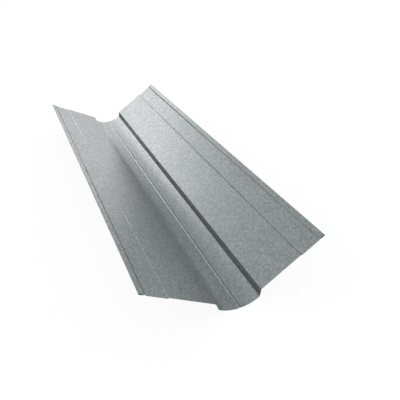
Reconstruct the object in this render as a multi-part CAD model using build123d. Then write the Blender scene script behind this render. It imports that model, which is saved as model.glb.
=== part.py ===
"""Valley flashing: one length of folded galvanised sheet that carries rain down the valley of a roof.

The section is drawn as the line of the sheet's upper face and given the sheet's thickness on its lower side.
A hem folded under is added to each outer edge, and the section is given its length.
X runs across the valley, Y along it and Z up. Sizes are in millimetres and angles in degrees.
"""
import os
from math import cos, radians, sin, sqrt, tan

from build123d import *

# The blank
LENGTH = 1250.0
SHEET_THICKNESS = 0.6

# The sunken trough, measured on the upper face, and the steep steps up to the wings
TROUGH_WIDTH = 90.7
TROUGH_RADIUS = 83.7
STEP_RISE = 16.2
STEP_LEAN = 15.0
STEP_FOOT_RADIUS = 1.2
STEP_TOP_RADIUS = 1.0

# The stiffening rib pressed up along the middle of the trough
RIB_WIDTH = 6.0
RIB_HEIGHT = 1.7
RIB_CREST_RADIUS = 1.2
RIB_FOOT_RADIUS = 1.0

# The wings: an inner strip, a small joggle down, and an outer strip that ends in the hem
WING_SLOPE = 30.0
INNER_STRIP_WIDTH = 106.2
JOGGLE_RUN = 2.0
JOGGLE_DROP = 2.0
JOGGLE_RADIUS = 1.0
OUTER_STRIP_WIDTH = 46.3

# The hem: the edge of each wing rises on a ramp and is folded under, with an open gap inside the fold
HEM_RAMP_RUN = 4.1
HEM_RAMP_RADIUS = 1.2
HEM_WIDTH = 11.8
HEM_GAP = 1.7


def on_trough(x):
    """Point of the trough's round upper face at the distance x from the middle of the valley."""
    return Vector(x, TROUGH_RADIUS - sqrt(TROUGH_RADIUS**2 - x**2))


def mirrored(point):
    """The same point on the left half of the section."""
    return Vector(-point.X, point.Y)


def edge_through(points):
    """A straight edge through two points, or an arc through three."""
    if len(points) == 3:
        return ThreePointArc(*points)
    return Line(*points)


# Corners of the right half of the upper face, before the bends are rounded
outward = Vector(cos(radians(WING_SLOPE)), sin(radians(WING_SLOPE)))
upward = Vector(-sin(radians(WING_SLOPE)), cos(radians(WING_SLOPE)))
fold_radius = HEM_GAP / 2
fold_reach = fold_radius + SHEET_THICKNESS
hem_rise = HEM_GAP + SHEET_THICKNESS
rib_crest = Vector(0, RIB_HEIGHT)
rib_foot = on_trough(RIB_WIDTH / 2)
trough_middle = on_trough((RIB_WIDTH + TROUGH_WIDTH) / 4)
step_foot = on_trough(TROUGH_WIDTH / 2)
step_top = step_foot + Vector(STEP_RISE * tan(radians(STEP_LEAN)), STEP_RISE)
joggle_top = step_top + outward * INNER_STRIP_WIDTH
joggle_foot = joggle_top + outward * JOGGLE_RUN - upward * JOGGLE_DROP
ramp_foot = joggle_foot + outward * OUTER_STRIP_WIDTH
ramp_top = ramp_foot + outward * HEM_RAMP_RUN + upward * hem_rise
fold_start = ramp_top + outward * (HEM_WIDTH - fold_reach)

# The line of the upper face runs from the left fold to the right one
right_half = [
    [rib_crest, rib_foot],
    [rib_foot, trough_middle, step_foot],
    [step_foot, step_top],
    [step_top, joggle_top],
    [joggle_top, joggle_foot],
    [joggle_foot, ramp_foot],
    [ramp_foot, ramp_top],
    [ramp_top, fold_start],
]
left_half = [[mirrored(point) for point in reversed(points)] for points in reversed(right_half)]
upper_face = Wire([edge_through(points) for points in left_half + right_half])

# Each bend is rounded at its own corner, on both halves
bends = [(rib_crest, RIB_CREST_RADIUS)]
for corner, radius in [
    (rib_foot, RIB_FOOT_RADIUS),
    (step_foot, STEP_FOOT_RADIUS),
    (step_top, STEP_TOP_RADIUS),
    (joggle_top, JOGGLE_RADIUS),
    (joggle_foot, JOGGLE_RADIUS),
    (ramp_foot, HEM_RAMP_RADIUS),
    (ramp_top, HEM_RAMP_RADIUS),
]:
    bends.append((corner, radius))
    bends.append((mirrored(corner), radius))
for corner, radius in bends:
    bend = upper_face.vertices().sort_by_distance(corner)[0]
    upper_face = upper_face.fillet_2d(radius, [bend])
sheet = Face(upper_face.offset_2d(SHEET_THICKNESS, side=Side.RIGHT))

# One fold: a half ring and a flat strip laid back under the hem, drawn level about the ring's centre.
# The strip lies level with the rest of the wing's underside.
return_width = HEM_WIDTH - fold_reach
fold = split(Circle(fold_reach) - Circle(fold_radius), Plane.YZ)
return_strip = Pos(-return_width / 2, -fold_radius - SHEET_THICKNESS / 2) * Rectangle(return_width, SHEET_THICKNESS)
right_fold = Pos(fold_start - upward * fold_reach) * Rot(0, 0, WING_SLOPE) * (fold + return_strip)

section = sheet + right_fold + mirror(right_fold, Plane.YZ)
valley_flashing = extrude(Plane.XZ * section, LENGTH / 2, both=True)

# The lowest lines of the trough lie on the floor
valley_flashing = Pos(0, 0, -valley_flashing.bounding_box().min.Z) * valley_flashing

os.makedirs("parts", exist_ok=True)
export_step(valley_flashing, "parts/valley_flashing.step")
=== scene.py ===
"""Looks of the valley flashing: galvanised finish, studio and camera. Lengths are in metres."""
import math

import bpy
from mathutils import Matrix, Vector

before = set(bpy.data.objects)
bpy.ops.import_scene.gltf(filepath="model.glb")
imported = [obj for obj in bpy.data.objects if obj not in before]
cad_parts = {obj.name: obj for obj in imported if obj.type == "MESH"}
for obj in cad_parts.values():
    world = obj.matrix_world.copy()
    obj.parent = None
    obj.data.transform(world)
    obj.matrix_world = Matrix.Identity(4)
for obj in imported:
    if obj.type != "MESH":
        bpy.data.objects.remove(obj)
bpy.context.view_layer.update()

# Camera, in the part's frame
CAMERA_PLACE = Vector((-0.3063, -1.3773, 0.7172))
CAMERA_AIM = Vector((0.0, -0.4425, 0.1640))
CAMERA_ROLL = math.radians(-6.31)
CAMERA_REACH = 50.0
FOCAL_LENGTH_PIXELS = 518.8
IMAGE_PIXELS = 400.0
SENSOR_WIDTH_MM = 36.0

# Studio: white floor and surround. Round the part stands a grey tent that only the metal shows, with a long
# softbox at its far end. The near half is the same, turned half round.
WHITE = (1.0, 1.0, 1.0, 1.0)
FLOOR_PAINT = (0.98, 0.98, 0.98, 1.0)
FLOOR_SIZE = 10.0
FLOOR_GLOW = 0.9
TENT_TINT = (0.91, 1.015, 1.015, 1.0)
TENT_LEFT = -1.65
TENT_RIGHT = 2.48
TENT_TOP = 2.3
TENT_END = 4.0
MAT_START = 0.63
MAT_HEIGHT = 0.001

# Brightness of the tent's sheets; a pair runs from the left side to the right one
ROOF_BRIGHTNESS = (0.50, 0.26)
END_BRIGHTNESS = (0.59, 0.32)
LEFT_BRIGHTNESS = 0.42
RIGHT_BRIGHTNESS = 0.50
MAT_BRIGHTNESS = 0.20

# Softbox: the fades are shares of its width and height
SOFTBOX_PLACE = Vector((0.2, 3.9, 1.08))
SOFTBOX_SIZE = (4.3, 1.1)
SOFTBOX_ROLL = math.radians(-20.0)
SOFTBOX_RADIANCE = 1.54
SOFTBOX_FADES = (0.06, 0.2)

# Galvanised finish: the three shares of its tone add up to one
ZINC_DARK = (0.315, 0.317, 0.317, 1.0)
ZINC_LIGHT = (0.805, 0.808, 0.807, 1.0)
ZINC_EDGE_TINT = (0.7, 0.7, 0.7, 1.0)
SPANGLE_SIZE = 0.0025
CLOUD_SIZE = 0.003
GRAIN_SIZE = 0.0015
STRETCH_ALONG = 2.0
FINE_DETAIL = 2.0
CLOUD_DETAIL = 3.0
CLOUD_ROUGHNESS = 0.6
NOISE_MIDDLE = (0.5, 0.5, 0.5)
NOISE_RANGE = (0.3, 0.7)
CRYSTAL_SHARE = 0.40
CLOUD_SHARE = 0.35
GRAIN_SHARE = 0.25
ROUGHNESS_RANGE = (0.29, 0.39)
BUMP_HEIGHT = 0.0001


class Graph:
    """Short helper for building a node tree."""

    def __init__(self, tree):
        self.tree = tree
        tree.nodes.clear()

    def add(self, kind, **inputs):
        """Adds a node and sets or links its inputs, given by name or, as in i0, by number."""
        node = self.tree.nodes.new(kind)
        for name, value in inputs.items():
            key = int(name[1:]) if name[0] == "i" and name[1:].isdigit() else name.replace("_", " ")
            if isinstance(value, bpy.types.NodeSocket):
                self.tree.links.new(value, node.inputs[key])
            else:
                node.inputs[key].default_value = value
        return node

    def math(self, operation, first, second=0.0, third=0.0):
        """One math node; returns its output."""
        node = self.add("ShaderNodeMath", i0=first, i1=second, i2=third)
        node.operation = operation
        return node.outputs[0]

    def vector(self, operation, first, second, third=(0.0, 0.0, 0.0)):
        """One vector math node; returns its output."""
        node = self.add("ShaderNodeVectorMath", i0=first, i1=second, i2=third)
        node.operation = operation
        return node.outputs[0]

    def ramp(self, value, low, high, to_low=0.0, to_high=1.0, smooth=False):
        """Maps a value from one range to another; returns the output."""
        node = self.add("ShaderNodeMapRange", i0=value, i1=low, i2=high, i3=to_low, i4=to_high)
        if smooth:
            node.interpolation_type = "SMOOTHSTEP"
        return node.outputs[0]

    def mix(self, factor, first, second):
        """Mixes two colours; returns the output."""
        node = self.add("ShaderNodeMix", i0=factor, i6=first, i7=second)
        node.data_type = "RGBA"
        return node.outputs[2]

    def seen_rays(self):
        """One for the rays that show the studio: camera, glossy and transmission rays."""
        path = self.add("ShaderNodeLightPath")
        mirrored = self.math("MAXIMUM", path.outputs["Is Glossy Ray"], path.outputs["Is Transmission Ray"])
        return self.math("MAXIMUM", path.outputs["Is Camera Ray"], mirrored)


def galvanised_material():
    """Zinc coated sheet: fine matt spangle drawn out along the sheet, faint clouds and a grained face."""
    material = bpy.data.materials.new("galvanised_sheet")
    material.use_nodes = True
    graph = Graph(material.node_tree)
    on_sheet = graph.add("ShaderNodeTexCoord").outputs["Object"]
    place = graph.vector("MULTIPLY", on_sheet, (1.0, 1.0 / STRETCH_ALONG, 1.0))

    # Crystals with bent borders, each with its own tone and roughness
    wander = graph.add("ShaderNodeTexNoise", Vector=place, Scale=1.0 / SPANGLE_SIZE, Detail=FINE_DETAIL)
    shift = graph.vector("SUBTRACT", wander.outputs["Color"], NOISE_MIDDLE)
    bent = graph.vector("MULTIPLY_ADD", shift, (SPANGLE_SIZE, SPANGLE_SIZE, SPANGLE_SIZE), place)
    spangle = graph.add("ShaderNodeTexVoronoi", Vector=bent, Scale=1.0 / SPANGLE_SIZE)
    crystal = graph.add("ShaderNodeSeparateColor", Color=spangle.outputs["Color"])
    roughness = graph.ramp(crystal.outputs[1], 0.0, 1.0, *ROUGHNESS_RANGE)

    # Clouds and grain are added to the crystals' tone, and the grain also gives the bump
    cloud = graph.add("ShaderNodeTexNoise", Vector=place, Scale=1.0 / CLOUD_SIZE, Detail=CLOUD_DETAIL,
                      Roughness=CLOUD_ROUGHNESS)
    grain = graph.add("ShaderNodeTexNoise", Vector=place, Scale=1.0 / GRAIN_SIZE, Detail=FINE_DETAIL)
    tone = graph.math("MULTIPLY", crystal.outputs[0], CRYSTAL_SHARE)
    for noise, share in ((cloud, CLOUD_SHARE), (grain, GRAIN_SHARE)):
        stretched = graph.ramp(noise.outputs["Fac"], *NOISE_RANGE)
        tone = graph.math("MULTIPLY_ADD", stretched, share, tone)
    color = graph.mix(tone, ZINC_DARK, ZINC_LIGHT)
    uneven = graph.add("ShaderNodeBump", Strength=1.0, Distance=BUMP_HEIGHT, Height=grain.outputs["Fac"])

    shader = graph.add("ShaderNodeBsdfPrincipled", Base_Color=color, Metallic=1.0, Roughness=roughness,
                       Specular_Tint=ZINC_EDGE_TINT, Normal=uneven.outputs[0])
    graph.add("ShaderNodeOutputMaterial", Surface=shader.outputs[0])
    return material


def build_world():
    """Even white surround."""
    scene = bpy.context.scene
    scene.view_settings.view_transform = "Standard"
    world = bpy.data.worlds.new("studio")
    world.use_nodes = True
    scene.world = world
    graph = Graph(world.node_tree)
    white = graph.add("ShaderNodeBackground", Color=WHITE, Strength=1.0)
    graph.add("ShaderNodeOutputWorld", Surface=white.outputs[0])


def build_floor():
    """White floor that keeps the part's shadow."""
    bpy.ops.mesh.primitive_plane_add(size=FLOOR_SIZE)
    floor = bpy.context.active_object
    floor.name = "floor"
    material = bpy.data.materials.new("floor")
    material.use_nodes = True
    graph = Graph(material.node_tree)
    paint = graph.add("ShaderNodeBsdfDiffuse", Color=FLOOR_PAINT)
    glow = graph.add("ShaderNodeEmission", Color=WHITE, Strength=graph.seen_rays())
    mixed = graph.add("ShaderNodeMixShader", i0=FLOOR_GLOW, i1=paint.outputs[0], i2=glow.outputs[0])
    graph.add("ShaderNodeOutputMaterial", Surface=mixed.outputs[0])
    floor.data.materials.append(material)


def tent_sheet(name, corners, brightness):
    """One four-sided sheet of the tent and its twin turned half round, shown only by mirrored rays.

    The brightness is one number, or a pair for the tent's left and right sides.
    """
    material = bpy.data.materials.new(name)
    material.use_nodes = True
    graph = Graph(material.node_tree)
    if isinstance(brightness, tuple):
        place = graph.add("ShaderNodeTexCoord").outputs["Object"]
        across = graph.add("ShaderNodeSeparateXYZ", Vector=place).outputs[0]
        brightness = graph.ramp(across, TENT_LEFT, TENT_RIGHT, *brightness)
    cloth = graph.add("ShaderNodeEmission", Color=TENT_TINT, Strength=brightness)
    graph.add("ShaderNodeOutputMaterial", Surface=cloth.outputs[0])
    mesh = bpy.data.meshes.new(name)
    mesh.from_pydata(corners, [], [(0, 1, 2, 3)])
    mesh.materials.append(material)
    for half, turn in (("far_", 0.0), ("near_", math.pi)):
        sheet = bpy.data.objects.new(half + name, mesh)
        sheet.rotation_euler.z = turn
        bpy.context.scene.collection.objects.link(sheet)
        for kind in ("camera", "diffuse", "shadow", "volume_scatter"):
            setattr(sheet, "visible_" + kind, False)


def build_tent():
    """The far half of the tent, sheet by sheet; each sheet brings its twin of the near half."""
    left, right, top, end = TENT_LEFT, TENT_RIGHT, TENT_TOP, TENT_END
    mat, low = MAT_START, MAT_HEIGHT
    for name, corners, brightness in (
        ("roof", [(left, 0, top), (right, 0, top), (right, end, top), (left, end, top)], ROOF_BRIGHTNESS),
        ("end", [(left, end, 0), (right, end, 0), (right, end, top), (left, end, top)], END_BRIGHTNESS),
        ("left", [(left, 0, 0), (left, end, 0), (left, end, top), (left, 0, top)], LEFT_BRIGHTNESS),
        ("right", [(right, 0, 0), (right, end, 0), (right, end, top), (right, 0, top)], RIGHT_BRIGHTNESS),
        ("mat", [(left, mat, low), (right, mat, low), (right, end, low), (left, end, low)], MAT_BRIGHTNESS),
    ):
        tent_sheet(name, corners, brightness)


def build_softboxes():
    """A long soft lamp in front of each end of the tent, fading at its edges."""
    width, height = SOFTBOX_SIZE
    facing = Matrix.Rotation(-SOFTBOX_ROLL, 4, "Y") @ Matrix.Rotation(math.radians(-90.0), 4, "X")
    far_place = Matrix.Translation(SOFTBOX_PLACE) @ facing
    for name, turn in (("far_softbox", 0.0), ("near_softbox", math.pi)):
        lamp = bpy.data.lights.new(name, "AREA")
        lamp.shape = "RECTANGLE"
        lamp.size = width
        lamp.size_y = height
        # At this power a strength of one in the nodes is a radiance of one
        lamp.energy = math.pi * width * height
        lamp.use_nodes = True
        graph = Graph(lamp.node_tree)
        place = graph.add("ShaderNodeNewGeometry").outputs["Parametric"]
        across = graph.add("ShaderNodeSeparateXYZ", Vector=place)
        strength = SOFTBOX_RADIANCE
        for output, fade in zip(across.outputs, SOFTBOX_FADES):
            from_nearer_edge = graph.math("PINGPONG", output, 0.5)
            strength = graph.math("MULTIPLY", graph.ramp(from_nearer_edge, 0.0, fade, smooth=True), strength)
        glow = graph.add("ShaderNodeEmission", Strength=strength)
        graph.add("ShaderNodeOutputLight", Surface=glow.outputs[0])
        softbox = bpy.data.objects.new(name, lamp)
        bpy.context.scene.collection.objects.link(softbox)
        softbox.matrix_world = Matrix.Rotation(turn, 4, "Z") @ far_place


def build_camera():
    """Camera at the photograph's place, with its roll about the line of sight."""
    data = bpy.data.cameras.new("camera")
    data.sensor_width = SENSOR_WIDTH_MM
    data.lens = SENSOR_WIDTH_MM * FOCAL_LENGTH_PIXELS / IMAGE_PIXELS
    data.clip_end = CAMERA_REACH
    camera = bpy.data.objects.new("camera", data)
    bpy.context.scene.collection.objects.link(camera)
    look = (CAMERA_AIM - CAMERA_PLACE).to_track_quat("-Z", "Y").to_matrix().to_4x4()
    camera.matrix_world = Matrix.Translation(CAMERA_PLACE) @ look @ Matrix.Rotation(CAMERA_ROLL, 4, "Z")
    bpy.context.scene.camera = camera


build_world()
build_floor()
build_tent()
build_softboxes()
build_camera()
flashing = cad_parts["valley_flashing"]
flashing.data.materials.clear()
flashing.data.materials.append(galvanised_material())
